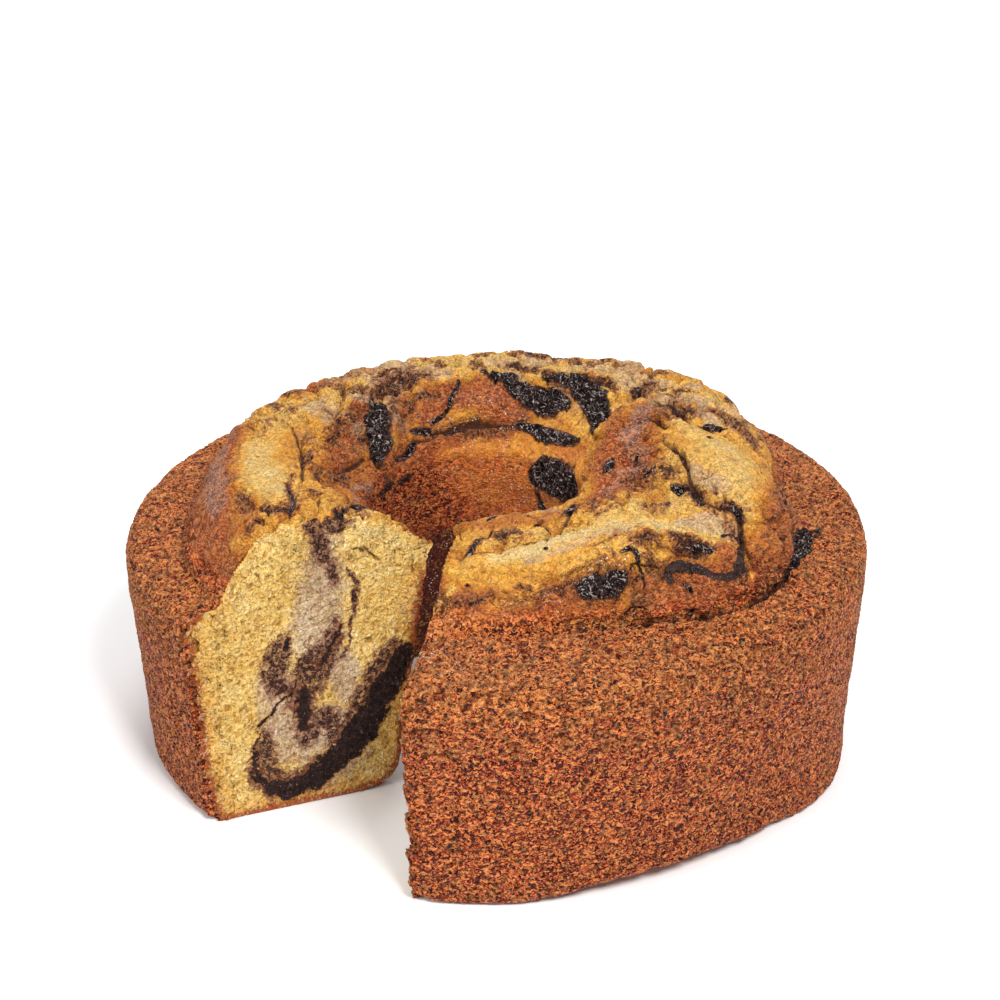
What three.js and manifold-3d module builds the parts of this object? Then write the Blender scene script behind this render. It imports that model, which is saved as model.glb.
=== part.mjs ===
// Marble ring cake, baked in a plain tube pan, with one wedge cut out of it.
//
// One solid: a tapered ring with a flat underside, a narrow level shoulder where the
// batter met the rim of the pan, and an uneven crown that rose above it. Millimetres, +Z up.
// The origin is the centre of the underside. Azimuth 0 points along -Y, +90 along +X.
import * as THREE from 'three';
import { mergeVertices } from 'three/addons/utils/BufferGeometryUtils.js';
import Module from 'manifold-3d';

// ---- driving dimensions -------------------------------------------------------------

const RIM_RADIUS = 120;          // a 240 mm tube pan
const RIM_HEIGHT = 67;           // where the side wall is widest
const BASE_RADIUS = 114.5;       // the wall tapers to this
const BASE_EDGE_ROUND = 4;
const SHOULDER_RADIUS = 115;     // inner end of the rounded rim
const SHOULDER_HEIGHT = 75;
const RIM_CORNER_HEIGHT = 74;    // where the wall and the shoulder would meet if left sharp

// The wall is drawn in a little in two places: beside the cut, and at the front right.
const WALL_DIPS = [
  { azimuth: -50, width: 22, depth: 4 },
  { azimuth: 44, width: 17, depth: 1.8 },
];

const TUBE_CENTRE = { x: -5, y: -2 };   // the hole sits slightly off the middle
const TUBE_BASE_RADIUS = 48;            // the pan's tube is a cone, widest at the base
const TUBE_BASE_ROUND = 10;
const TUBE_WALL_HEIGHT = 72;            // the smooth tube wall ends here
const TUBE_WALL_OUT_FROM_LIP = 1.5;

// The two knife cuts meet inside the hole and run outwards from there.
const KNIFE_TIP = { x: -7.6, y: -31.8 };
const LEFT_CUT_AZIMUTH = -68.3;
const RIGHT_CUT_AZIMUTH = -13.6;
const KNIFE_REACH = 230;
const KNIFE_BELOW = 10;
const KNIFE_DEPTH = 140;

// The crown's cross-section at stations around the ring, as [radius, height]: the foot of
// its outer flank, the outer and inner ends of its top, and its lip over the hole.
const CROWN_STATIONS = [
  { azimuth: -180, foot: [95, 78], outer: [80, 98], inner: [56, 98], lip: [34, 84] },
  { azimuth: -145, foot: [96, 78], outer: [83, 97.5], inner: [58, 97], lip: [36, 84] },
  { azimuth: -95, foot: [96, 77], outer: [83, 97], inner: [56, 98], lip: [37, 84] },
  { azimuth: -56, foot: [105, 75.5], outer: [88, 98.5], inner: [58, 98.5], lip: [38, 84] },
  { azimuth: -32, foot: [98, 76.5], outer: [84, 93], inner: [54, 97], lip: [37.5, 84] },
  { azimuth: -12, foot: [89, 78], outer: [76, 83.5], inner: [48, 91.5], lip: [37, 85.5] },
  { azimuth: 20, foot: [83, 78], outer: [68, 90], inner: [47, 96], lip: [31.5, 88] },
  { azimuth: 52, foot: [100, 78], outer: [86, 95], inner: [50, 98], lip: [31, 87] },
  { azimuth: 90, foot: [95, 78], outer: [84, 98.5], inner: [54, 99], lip: [33, 86] },
  { azimuth: 130, foot: [98, 78], outer: [87, 99], inner: [57, 98.5], lip: [33, 84] },
];
const FLANK_BULGE = 2.5;         // the outer flank swells over its foot
const CROWN_CAMBER = 1.8;        // rise between the ends of the crown's top

// Lumps and folds on the crown: where, how wide and how high.
const LUMPS = [
  { azimuth: 76, radius: 68, width: 17, height: 3 },
  { azimuth: 114, radius: 77, width: 14, height: 3.4 },
  { azimuth: 148, radius: 76, width: 12, height: 1 },
  { azimuth: 178, radius: 76, width: 9, height: 2 },
  { azimuth: -152, radius: 74, width: 13, height: 1.2 },
  { azimuth: -112, radius: 72, width: 12, height: 2.4 },
  { azimuth: -72, radius: 80, width: 12, height: 2.6 },
  { azimuth: 36, radius: 58, width: 13, height: 2 },
  { azimuth: 6, radius: 44, width: 8, height: 2.5 },
  { azimuth: 58, radius: 62, width: 7, height: -2.6 },
  { azimuth: 95, radius: 46, width: 7, height: -2.2 },
  { azimuth: 165, radius: 48, width: 8, height: -2.2 },
  { azimuth: -128, radius: 50, width: 8, height: -2 },
];
const LUMP_FADE = 5;             // lumps reach full height this far above the shoulder

// ---- mesh density -------------------------------------------------------------------

const SEGMENTS_AROUND = 120;
const ROUND_STEPS = 3;
const WALL_STEPS = 4;
const SHOULDER_STEPS = 2;
const CROWN_STEPS = 16;
const TUBE_STEPS = 4;

// ---- helpers ------------------------------------------------------------------------

const TURN = 360;
const HALFWAY = 0.5;
const smoothstep = (t) => t * t * (3 - 2 * t);
const mix = (a, b, t) => a + (b - a) * t;
const mixPoint = (a, b, t) => [mix(a[0], b[0], t), mix(a[1], b[1], t)];

/** The four crown points at any azimuth, blended smoothly between the stations. */
function crownAt(azimuth) {
  const count = CROWN_STATIONS.length;
  for (let i = 0; i < count; i += 1) {
    const here = CROWN_STATIONS[i];
    const next = CROWN_STATIONS[(i + 1) % count];
    const span = (next.azimuth - here.azimuth + TURN) % TURN;
    const along = (azimuth - here.azimuth + 2 * TURN) % TURN;
    if (along < span) {
      const t = smoothstep(along / span);
      return {
        foot: mixPoint(here.foot, next.foot, t),
        outer: mixPoint(here.outer, next.outer, t),
        inner: mixPoint(here.inner, next.inner, t),
        lip: mixPoint(here.lip, next.lip, t),
      };
    }
  }
  throw new Error(`no crown station covers azimuth ${azimuth}`);
}

/** Points of a quarter round from one tangent point to another about a corner. */
function roundCorner(from, corner, to) {
  const curve = new THREE.QuadraticBezierCurve(
    new THREE.Vector2(...from),
    new THREE.Vector2(...corner),
    new THREE.Vector2(...to),
  );
  return curve.getPoints(ROUND_STEPS);
}

/** Points that divide a straight run, without its two ends. */
function between(from, to, steps) {
  const points = [];
  for (let i = 1; i < steps; i += 1) {
    points.push(new THREE.Vector2(...mixPoint(from, to, i / steps)));
  }
  return points;
}

/** How far the side wall is drawn in at one azimuth. */
function wallDip(azimuth) {
  let depth = 0;
  for (const dip of WALL_DIPS) {
    const away = ((azimuth - dip.azimuth + 1.5 * TURN) % TURN) - TURN / 2;
    depth += dip.depth * Math.exp(-((away / dip.width) ** 2));
  }
  return depth;
}

/** The closed cross-section of the ring at one azimuth, from the base outwards and over. */
function sectionAt(azimuth) {
  const crown = crownAt(azimuth);
  const dip = wallDip(azimuth);
  const base = BASE_RADIUS - dip;
  const wallAtEdge = mix(base, RIM_RADIUS - dip, BASE_EDGE_ROUND / RIM_HEIGHT);
  const wallStart = [wallAtEdge, BASE_EDGE_ROUND];
  const rim = [RIM_RADIUS - dip, RIM_HEIGHT];
  const rimCorner = [RIM_RADIUS - dip, RIM_CORNER_HEIGHT];
  const shoulder = [SHOULDER_RADIUS - dip, SHOULDER_HEIGHT];

  const flank = mixPoint(crown.foot, crown.outer, HALFWAY);
  flank[0] += FLANK_BULGE;
  const top = mixPoint(crown.outer, crown.inner, HALFWAY);
  top[1] += CROWN_CAMBER;
  const slope = mixPoint(crown.inner, crown.lip, HALFWAY);
  slope[1] += CROWN_CAMBER;
  const crownCurve = new THREE.SplineCurve([
    new THREE.Vector2(...crown.foot),
    new THREE.Vector2(...flank),
    new THREE.Vector2(...crown.outer),
    new THREE.Vector2(...top),
    new THREE.Vector2(...crown.inner),
    new THREE.Vector2(...slope),
    new THREE.Vector2(...crown.lip),
  ]);

  const tubeTop = [crown.lip[0] + TUBE_WALL_OUT_FROM_LIP, TUBE_WALL_HEIGHT];
  const tubeAtEdge = mix(TUBE_BASE_RADIUS, tubeTop[0], TUBE_BASE_ROUND / TUBE_WALL_HEIGHT);
  const tubeFoot = [tubeAtEdge, TUBE_BASE_ROUND];
  const tubeEnd = [TUBE_BASE_RADIUS + TUBE_BASE_ROUND, 0];

  const section = [
    ...roundCorner([base - BASE_EDGE_ROUND, 0], [base, 0], wallStart),
    ...between(wallStart, rim, WALL_STEPS),
    ...roundCorner(rim, rimCorner, shoulder),
    ...between(shoulder, crown.foot, SHOULDER_STEPS),
    ...crownCurve.getPoints(CROWN_STEPS),
    new THREE.Vector2(...tubeTop),
    ...between(tubeTop, tubeFoot, TUBE_STEPS),
    ...roundCorner(tubeFoot, [TUBE_BASE_RADIUS, 0], tubeEnd),
  ];
  section.push(section[0].clone());
  return section;
}

/** How far the lumps and folds raise the crown at a point. */
function lumpRise(x, y) {
  let rise = 0;
  for (const lump of LUMPS) {
    const angle = THREE.MathUtils.degToRad(lump.azimuth);
    const dx = x - lump.radius * Math.sin(angle);
    const dy = y + lump.radius * Math.cos(angle);
    rise += lump.height * Math.exp(-(dx * dx + dy * dy) / (lump.width * lump.width));
  }
  return rise;
}

/** The whole ring: a lathed section whose points then follow the section at each azimuth. */
function ringGeometry() {
  const geometry = new THREE.LatheGeometry(sectionAt(0), SEGMENTS_AROUND);
  const position = geometry.attributes.position;
  const rows = sectionAt(0).length;
  for (let i = 0; i <= SEGMENTS_AROUND; i += 1) {
    const azimuth = ((i % SEGMENTS_AROUND) / SEGMENTS_AROUND) * TURN;
    const angle = THREE.MathUtils.degToRad(azimuth);
    const section = sectionAt(azimuth);
    section.forEach((point, j) => {
      // Full shift at the tube wall, fading to none at the pan's wall.
      const inwards = (RIM_RADIUS - point.x) / (RIM_RADIUS - TUBE_BASE_RADIUS);
      const shift = smoothstep(THREE.MathUtils.clamp(inwards, 0, 1));
      const x = point.x * Math.sin(angle) + TUBE_CENTRE.x * shift;
      const y = -point.x * Math.cos(angle) + TUBE_CENTRE.y * shift;
      const aboveShoulder = (point.y - SHOULDER_HEIGHT) / LUMP_FADE;
      const onCrown = smoothstep(THREE.MathUtils.clamp(aboveShoulder, 0, 1));
      position.setXYZ(i * rows + j, x, y, point.y + lumpRise(x, y) * onCrown);
    });
  }
  return geometry;
}

/** The wedge that the knife takes out, as a prism standing through the whole ring. */
function wedgeGeometry() {
  const away = (azimuth) => {
    const angle = THREE.MathUtils.degToRad(azimuth);
    const x = KNIFE_TIP.x + KNIFE_REACH * Math.sin(angle);
    const y = KNIFE_TIP.y - KNIFE_REACH * Math.cos(angle);
    return new THREE.Vector2(x, y);
  };
  const outline = new THREE.Shape([
    new THREE.Vector2(KNIFE_TIP.x, KNIFE_TIP.y),
    away(LEFT_CUT_AZIMUTH),
    away(RIGHT_CUT_AZIMUTH),
  ]);
  const prism = new THREE.ExtrudeGeometry(outline, { depth: KNIFE_DEPTH, bevelEnabled: false });
  return prism.translate(0, 0, -KNIFE_BELOW);
}

const wasm = await Module();
wasm.setup();

/** A closed geometry as a solid that can be cut. */
function toSolid(geometry) {
  const bare = geometry.clone();
  bare.deleteAttribute('normal');
  bare.deleteAttribute('uv');
  const merged = mergeVertices(bare);
  return new wasm.Manifold(new wasm.Mesh({
    numProp: 3,
    vertProperties: new Float32Array(merged.attributes.position.array),
    triVerts: new Uint32Array(merged.index.array),
  }));
}

/** A solid back as geometry, ready for a mesh. */
function toGeometry(solid) {
  const result = solid.getMesh();
  const geometry = new THREE.BufferGeometry();
  geometry.setAttribute('position', new THREE.BufferAttribute(result.vertProperties, 3));
  geometry.setIndex(new THREE.BufferAttribute(result.triVerts, 1));
  geometry.computeVertexNormals();
  return geometry;
}

// ---- the cake -----------------------------------------------------------------------

const crustMaterial = new THREE.MeshStandardMaterial({
  color: 0xa9602f,
  roughness: 0.85,
  metalness: 0,
});

function makeCake() {
  const solid = toSolid(ringGeometry()).subtract(toSolid(wedgeGeometry()));
  const mesh = new THREE.Mesh(toGeometry(solid), crustMaterial);
  mesh.name = 'cake';
  return mesh;
}

const group = new THREE.Group();
group.add(makeCake());

export default group;
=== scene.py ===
import math

import bpy
import numpy as np
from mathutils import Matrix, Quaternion, Vector, noise
from mathutils.kdtree import KDTree


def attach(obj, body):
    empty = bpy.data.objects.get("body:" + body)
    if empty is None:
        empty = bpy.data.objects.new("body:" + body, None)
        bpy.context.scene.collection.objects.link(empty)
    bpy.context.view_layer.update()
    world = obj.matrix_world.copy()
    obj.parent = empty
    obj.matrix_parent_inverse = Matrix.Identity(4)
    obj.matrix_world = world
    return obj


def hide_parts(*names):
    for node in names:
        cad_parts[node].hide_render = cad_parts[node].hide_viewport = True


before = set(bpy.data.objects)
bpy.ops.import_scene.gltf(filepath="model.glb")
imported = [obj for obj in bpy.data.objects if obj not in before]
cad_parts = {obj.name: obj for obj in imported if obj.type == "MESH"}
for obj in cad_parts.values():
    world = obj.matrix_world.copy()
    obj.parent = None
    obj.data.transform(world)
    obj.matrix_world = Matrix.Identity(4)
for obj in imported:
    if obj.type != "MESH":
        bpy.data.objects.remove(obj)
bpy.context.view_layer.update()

# ---- Baked body ---------------------------------------------------------------------
# The cake is one ring of marble sponge. Its batter was poured in a tube pan, rose over
# the rim in folds and set there. The ring is copied from the frame, and the folds are
# rolls of batter that melt into it.

MM = 0.001
GRID = 0.6                    # mm between the skin's points


def only(*things):
    """Selects these objects alone and makes the first one active."""
    bpy.ops.object.select_all(action="DESELECT")
    for thing in things:
        thing.select_set(True)
    bpy.context.view_layer.objects.active = things[0]


def finish_with(thing, kind, **settings):
    """Gives an object a modifier and applies it."""
    only(thing)
    modifier = thing.modifiers.new(kind.lower(), kind)
    for name, value in settings.items():
        setattr(modifier, name, value)
    bpy.ops.object.modifier_apply(modifier=modifier.name)


def edited(thing, tool, **settings):
    """Uses a mesh tool on the whole of an object."""
    only(thing)
    bpy.ops.object.mode_set(mode="EDIT")
    bpy.ops.mesh.select_all(action="SELECT")
    tool(**settings)
    bpy.ops.object.mode_set(mode="OBJECT")


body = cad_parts["cake"].copy()
body.data = body.data.copy()
body.name = "baked_body"
body.parent = None
body.data.materials.clear()
for key in list(body.keys()):
    del body[key]
bpy.context.collection.objects.link(body)
edited(body, bpy.ops.mesh.remove_doubles, threshold=0.01 * MM)


def on_ring(azimuth, radius):
    """x and y of a place on the ring, where azimuth 0 is in front and grows to the right."""
    turn = math.radians(azimuth)
    return radius * math.sin(turn), -radius * math.cos(turn)


def roll(name, *knots):
    """A roll of batter through knots of azimuth, radius, height and thickness."""
    bpy.ops.object.select_all(action="DESELECT")
    bpy.ops.curve.primitive_nurbs_path_add()
    curve = bpy.context.object
    curve.name = name
    shape = curve.data
    shape.splines.clear()
    line = shape.splines.new("NURBS")
    line.points.add(len(knots) - 1)
    for knot, (azimuth, radius, height, thick) in zip(line.points, knots):
        x, y = on_ring(azimuth, radius)
        knot.co = (x * MM, y * MM, height * MM, 1)
        knot.radius = thick
    line.order_u = 3
    line.use_endpoint_u = True
    line.resolution_u = 6
    shape.bevel_depth = MM
    shape.bevel_resolution = 4
    shape.use_fill_caps = True
    bpy.ops.object.convert(target="MESH")
    return bpy.context.object


rolls = [
    # the big pale lobe that came over the rim on the right
    roll("right_lobe", (97, 55, 91, 8), (86, 63, 92, 12), (76, 73, 92, 15), (68, 82, 88.5, 15),
         (61, 89, 85, 13), (56, 94, 80, 9), (50, 96, 78, 5)),
    # the long lobe in front, its skirt and the round tongue at its end
    roll("front_lobe", (-8, 64, 84, 7), (8, 64, 86, 9), (24, 68, 87, 11), (38, 73, 88, 12),
         (48, 79, 88, 9)),
    roll("front_skirt", (10, 78, 80, 5), (18, 79, 81, 7.5), (26, 80, 82, 8.5), (33, 84, 80, 7.5),
         (40, 90, 79, 6)),
    roll("tongue", (42, 86, 86, 5), (48, 91, 87, 6.5), (52, 93, 86, 5)),
    roll("tongue_skirt", (28, 82, 84, 4), (36, 89, 83, 5.5), (42, 93, 82, 6), (48, 95, 81, 6),
         (56, 96, 79, 4)),
    # two folds on the near lip of the hole
    roll("near_lip", (-15, 44, 88, 4), (-4, 43, 90, 5), (8, 43, 91, 5.5), (18, 46, 91, 5)),
    roll("near_lip_fold", (14, 43, 91, 4), (20, 47, 92, 5), (24, 52, 92, 4)),
    # pleats that run up out of the hole on the right
    roll("pleat_low", (46, 38, 89, 4.5), (61, 40, 94, 5.5), (66, 48, 97, 5.5), (66, 59, 98, 4.5)),
    roll("pleat_middle", (66, 33, 87, 4.5), (80, 37, 93, 5.5), (84, 45, 97, 5.5), (84, 54, 98, 4.5)),
    roll("pleat_high", (92, 31, 86, 4.5), (100, 37, 92, 5.5), (105, 45, 96, 6), (103, 54, 98, 4.5)),
    roll("pleat_back", (117, 40, 94, 4.5), (120, 48, 97, 5), (117, 55, 98, 5), (108, 59, 99, 4)),
    # behind the hole, a dome and the folds beside it
    roll("dome", (-158, 46, 86, 6), (-169, 50, 88, 10), (-180, 50, 89, 10), (-189, 46, 88, 6)),
    roll("left_inner_fold", (-128, 62, 94, 4), (-135, 61, 94, 5), (-134, 53, 92, 5), (-128, 47, 89, 5),
         (-114, 42, 84, 4)),
    roll("hole_back_fold", (-132, 46, 86, 3), (-143, 43, 86, 3.5), (-154, 40, 86, 3)),
    # the fold that lies on the shoulder left of the cut, and the lobes above it
    roll("left_flank_fold", (-94, 87, 88, 6), (-81, 87, 88, 7), (-70, 89, 86, 7.5), (-62, 92.5, 83, 6.5),
         (-56, 95, 80, 5.5)),
    roll("left_crown_lobe", (-88, 78, 92, 8), (-75, 79, 93, 9), (-63, 81, 93, 8)),
    roll("left_back_lobe", (-116, 74, 92, 9), (-130, 75, 92, 9), (-144, 74, 91, 9)),
    # small lumps and flaps along the back
    roll("back_lump", (112, 72, 95, 6), (105, 76, 95, 6.5)),
    roll("back_lump_low", (130, 76, 94, 6), (121, 78, 94, 6.5)),
    roll("back_lump_left", (152, 74, 95, 6), (143, 76, 95, 6)),
    roll("back_flap", (180, 77, 97, 4), (172, 77, 97, 4), (166, 75, 97, 3)),
    roll("back_flap_left", (-129, 81, 96, 4), (-137, 81, 96, 4)),
]
only(body, *rolls)
bpy.ops.object.join()
finish_with(body, "REMESH", mode="VOXEL", voxel_size=GRID * MM, use_smooth_shade=True)
finish_with(body, "SMOOTH", factor=0.5, iterations=12)

# ---- Relief -------------------------------------------------------------------------
# The skin is not smooth: the crown is puffed and creased where folds met, ribbons of
# chocolate batter stand up from it, and bubbles broke open along the pan's wall.


def rows_of(items, name, wide=3, kind=np.float32):
    """A property of a mesh's items, as rows of so many numbers."""
    flat = np.empty(len(items) * wide, kind)
    items.foreach_get(name, flat)
    return flat.reshape(-1, wide)


def points_of(thing):
    """An object's points in mm."""
    return rows_of(thing.data.vertices, "co").astype(float) / MM


def normals_of(thing):
    return rows_of(thing.data.vertex_normals, "vector").astype(float)


def move_points(thing, points):
    thing.data.vertices.foreach_set("co", (points * MM).astype(np.float32).ravel())
    thing.data.update()


def keep(thing, name, values):
    """Stores one number per point for the materials."""
    attribute = thing.data.attributes.get(name) or thing.data.attributes.new(name, "FLOAT", "POINT")
    attribute.data.foreach_set("value", values.astype(np.float32))


def cloud(points, size, octaves=3, shift=0.0):
    """Smooth unevenness of about -1 to 1 with lumps of about size mm."""
    places = (points / size + shift).tolist()
    return np.array([noise.fractal(place, 1.0, 2.0, octaves) for place in places])


def drift(points, size, octaves, *shifts):
    """Clouds side by side, one for each shift."""
    return np.stack([cloud(points, size, octaves, shift) for shift in shifts], 1)


def ease(amount):
    """0 to 1 with a soft start and end."""
    t = np.clip(amount, 0, 1)
    return t * t * (3 - 2 * t)


def peak(values, wide):
    """1 where values are 0, fading to 0 at wide to either side."""
    return ease(1 - np.abs(values) / wide)


def through(knots, steps=5):
    """A smooth curve through a few knots, as rows of the same numbers."""
    knots = np.array(knots, float)
    if len(knots) == 1:
        return knots
    ends = np.vstack([2 * knots[0] - knots[1], knots, 2 * knots[-1] - knots[-2]])
    rows = []
    for a, b, c, d in zip(ends, ends[1:], ends[2:], ends[3:]):
        for t in np.arange(steps) / steps:
            rows.append(b + ((c - a) * t + (2 * a - 5 * b + 4 * c - d) * t ** 2
                             + (3 * b - a - 3 * c + d) * t ** 3) / 2)
    rows.append(knots[-1])
    return np.array(rows)


def settled(points, links, amount, rounds):
    """Evens points out between their neighbours, by an amount of 0 to 1 for each."""
    first, second = links.T
    count = np.bincount(links.ravel(), minlength=len(points))
    for _ in range(rounds):
        sums_of = [np.bincount(first, points[second, axis], len(points))
                   + np.bincount(second, points[first, axis], len(points)) for axis in range(3)]
        points = points + (np.stack(sums_of, 1) / count[:, None] - points) * amount[:, None]
    return points


def on_crown(*knots):
    """A stroke over the crown through knots of azimuth, radius and half-width."""
    return through([(*on_ring(azimuth, radius), wide) for azimuth, radius, wide in knots])


def on_wall(radius, *knots):
    """A stroke on an upright wall through knots of azimuth, height and half-width."""
    return through([(*on_ring(azimuth, radius), height, wide) for azimuth, height, wide in knots])


def is_on_wall(path):
    """Whether a stroke's rows are x, y, height and half-width, and not x, y and half-width."""
    return path.shape[1] == 4


def crown_runs(*rows):
    """Rows of a few numbers and then knots, with the knots made into a stroke over the crown."""
    runs = []
    for row in rows:
        numbers = [part for part in row if not isinstance(part, tuple)]
        runs.append((*numbers, on_crown(*row[len(numbers):])))
    return runs


def brush(points, soft, path):
    """1 under a stroke and 0 away from it, fading over soft mm about its edge."""
    size = path.shape[1] - 1
    here = points[:, :size]
    places, widths = path[:, :size], path[:, size]
    reach = widths.max() + soft
    near = np.all((here > places.min(0) - reach) & (here < places.max(0) + reach), axis=1)
    spots = here[near]
    inside = np.full(len(spots), -1e9)
    if len(places) == 1:
        inside = widths[0] - np.linalg.norm(spots - places[0], axis=1)
    for start, end, wide, wider in zip(places, places[1:], widths, widths[1:]):
        run = end - start
        t = np.clip((spots - start) @ run / (run @ run), 0, 1)
        gap = np.linalg.norm(spots - start - t[:, None] * run, axis=1)
        inside = np.maximum(inside, wide + (wider - wide) * t - gap)
    result = np.zeros(len(here))
    result[near] = ease(0.5 + inside / (2 * soft))
    return result


def nearby(places):
    """A finder of the places that lie near a point."""
    near = KDTree(len(places))
    for number, place in enumerate(places.tolist()):
        near.insert(place, number)
    near.balance()
    return near


def pits(points, chosen, count, small, large, depth, seed):
    """How deep each point lies in one of count round pits of small to large mm, and how
    near it is to a pit's raised edge."""
    chance = np.random.default_rng(seed)
    near = nearby(points)
    deep = np.zeros(len(points))
    edge = np.zeros(len(points))
    for centre in chance.choice(chosen, count):
        radius = small + (large - small) * chance.random() ** 2.5
        for _, index, gap in near.find_range(points[centre].tolist(), radius * 1.35):
            out = gap / radius
            deep[index] = max(deep[index], depth * radius * (1 - out ** 2))
            edge[index] = max(edge[index], 1 - abs(out - 1.08) / 0.27)
    return deep, np.where(deep > 0.1 * depth, 0, edge)


skin = points_of(body)
outward = normals_of(body)
spread = np.hypot(skin[:, 0], skin[:, 1])
height = skin[:, 2]
azimuth = np.degrees(np.arctan2(skin[:, 0], -skin[:, 1]))

KNIFE_TIP = np.array([-7.6, -31.8])
LEFT_CUT = math.radians(-68.3)
RIGHT_CUT = math.radians(-13.6)
CUT_THICK = 0.9               # mm from a cut's plane within which the skin is a cut face
CROWN_FROM = 76               # mm of height above which the crown puffs up
CROWN_REACH = 112             # mm of radius that it stays within
TOP_FROM = 68                 # mm of height above which strokes mark the top
WALLS_FROM = 54               # and above which strokes mark the walls
left_way = np.array([math.sin(LEFT_CUT), -math.cos(LEFT_CUT)])
right_way = np.array([math.sin(RIGHT_CUT), -math.cos(RIGHT_CUT)])


def off_plane(points, way):
    """Distance from a cut's plane."""
    step = points[:, :2] - KNIFE_TIP
    return step[:, 0] * -way[1] + step[:, 1] * way[0]


def along_cut(points, way):
    return (points[:, :2] - KNIFE_TIP) @ way


def is_cut(points, facing, way):
    square = np.abs(facing[:, 0] * -way[1] + facing[:, 1] * way[0])
    close = np.abs(off_plane(points, way)) < CUT_THICK
    return close & (square > 0.75) & (along_cut(points, way) > 1)


cut_left = is_cut(skin, outward, left_way)
cut_right = is_cut(skin, outward, right_way)
on_cut = cut_left | cut_right
crowned = ease((height - CROWN_FROM) / 4) * (spread < CROWN_REACH)
under = ease((3 - height) / 2)
on_top = height > TOP_FROM

# strokes wander a little, so that none has a drawn edge; thin ones wander less
small_wander = drift(skin, 2.4, 2, 5.9, 23.3, 41.1)
wander = drift(skin, 7, 2, 3.1, 17.7, 31.3)
strayed = skin + 1.1 * wander + 0.6 * small_wander
barely_strayed = skin + 0.3 * wander + 0.25 * small_wander
THIN = 1.5                    # mm of half-width below which a stroke is thin


def laid(soft, path, area=on_top):
    """A stroke laid on the body's skin."""
    thin = path[:, -1].max() < THIN
    return brush(barely_strayed if thin else strayed, soft, path) * area


# depth, softness and run of each crease: in the valley around the crown, on the crown and
# on the walls
valleys = crown_runs(
    (3.6, 0.9, (6, 86, .3), (14, 85.5, .4), (22, 88, .5), (30, 91.3, .6), (38, 96.5, .6), (46, 101, .6),
     (54, 102.5, .7), (60, 101.5, .7), (66, 99, .7), (74, 97, .6), (86, 95.2, .5), (98, 95.2, .4)),
    (4.0, 0.8, (-84, 98.5, .3), (-76, 98.5, .5), (-68, 99, .8), (-62, 100.5, .8), (-57, 102.5, .8)),
)
creases = crown_runs(
    (3.6, 0.8, (94, 52, .5), (86, 56, .7), (76, 61, .7), (67, 66, .7), (62, 71, .7), (59, 78, .8),
     (59, 86, .9), (55, 91, .9), (52, 97, .8)),
    (4.2, 0.8, (60, 36, .5), (67, 43, .8), (70, 50, .8), (68, 58, .5)),
    (4.2, 0.8, (82, 33, .5), (90, 40, .8), (95, 48, .8), (94, 55, .5)),
    (4.2, 0.8, (106, 34, .5), (111, 43, .8), (110, 52, .8), (104, 59, .6)),
    (3.6, 0.8, (124, 40, .5), (127, 47, .8), (124, 54, .8), (116, 60, .6)),
    (2.4, 0.9, (-126, 41, .6), (-133, 41, .8), (-141, 41, .8), (-150, 40, .5)),
    (2.6, 0.9, (-136, 60, .5), (-138, 54, .7), (-134, 49, .8), (-126, 44, .8), (-116, 41.5, .5)),
    (2.2, 0.9, (-10, 62, .5), (2, 60, .5), (12, 59, .6), (20, 57, .7), (27, 51, .9)),
    (2.8, 0.8, (-4, 42, .4), (7, 41, .5), (13, 45, .5), (16, 51, .5), (17, 56, .5)),
    (2.2, 0.9, (-57, 85, .5), (-54, 82, .6), (-53, 78, .5), (-60, 73, .5), (-70, 69, .4)),
    (2.2, 1.0, (-84, 52, .5), (-96, 48, .8), (-110, 46, .7)),
    (2.4, 0.9, (-104, 68, .5), (-94, 62, .7), (-80, 62, .7), (-68, 65, .5)),
    (3.0, 1.0, (-150, 42, .6), (-162, 41, .8), (-174, 40, .8), (-186, 40, .6)),
    (2.0, 0.9, (134, 60, .5), (122, 63, .7), (112, 64, .8), (102, 66, .7), (96, 74, .6), (88, 80, .4)),
    (1.8, 0.9, (118, 68, .5), (112, 77, .7), (108, 86, .6)),
    (1.8, 0.9, (176, 62, .5), (164, 62, .7), (150, 63, .7), (138, 62, .6)),
    (1.8, 0.9, (-116, 60, .5), (-128, 63, .6), (-140, 62, .6), (-152, 60, .5)),
    (1.4, 0.9, (24, 72, .5), (31, 73, .6), (38, 80, .6), (44, 88, .5)),
    (1.4, 0.8, (37, 91, .5), (39, 92, .8), (40.5, 95, .4)),
)
wall_creases = [
    (2.4, 0.8, on_wall(119.5, (-13, 61, .4), (-10, 62.5, .5), (-7, 62, .3))),
    (2.6, 0.8, on_wall(118, (-62, 66, .3), (-60.5, 56, .5), (-60, 48, .3))),
]
VALLEY_LOW, VALLEY_TOP = 70, 83          # mm of height
in_valley = ease(outward[:, 2] / 0.6) * (height < VALLEY_TOP) * (height > VALLEY_LOW)
drop = np.zeros(len(skin))
# a thin line of painted shade along each crease
crease_shade_line = np.zeros(len(skin))
for runs, area in ((valleys, in_valley), (creases, height > 72), (wall_creases, height > 44)):
    for depth, soft, path in runs:
        drop = np.maximum(drop, depth * laid(soft, path, area))
        narrow = path.copy()
        narrow[:, -1] *= 0.8
        crease_shade_line = np.maximum(crease_shade_line, laid(0.5, narrow, area))

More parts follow.
